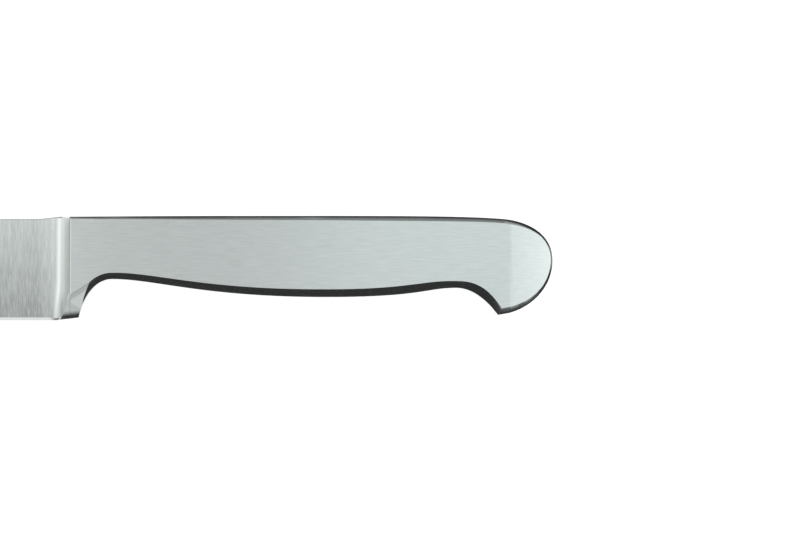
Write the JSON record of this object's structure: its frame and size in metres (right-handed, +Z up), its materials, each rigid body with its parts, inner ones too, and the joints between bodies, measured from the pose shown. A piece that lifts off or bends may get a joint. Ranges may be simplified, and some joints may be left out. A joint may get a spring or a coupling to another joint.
{
  "type": "fillet knife",
  "caption": "Long slender kitchen knife for filleting fish and meat, with a forged bolster and an all-steel full-tang handle that has a finger guard and a hooked butt.",
  "frame": {"origin": "centre of the knife's box in plan, on the surface that it lies on", "axes": "+X along the knife from tip to butt, +Y towards the spine, +Z up through the handle's thickness"},
  "size_m": [0.3356, 0.026, 0.0098],
  "materials": {
    "blade_steel": "ground across the blade, polished in the bolster's cove",
    "handle_steel": "fine satin brushing along the handle",
    "pin_steel": "plain turned steel, hidden",
    "bond": "thin dark bedding film"
  },
  "bodies": {
    "root": {"blade": "blade_steel", "handle_scale_left": "handle_steel", "handle_scale_right": "handle_steel", "bond_film_left": "bond", "bond_film_right": "bond", "tang_pin_front": "pin_steel", "tang_pin_middle": "pin_steel", "tang_pin_rear": "pin_steel"}
  },
  "joints": []
}
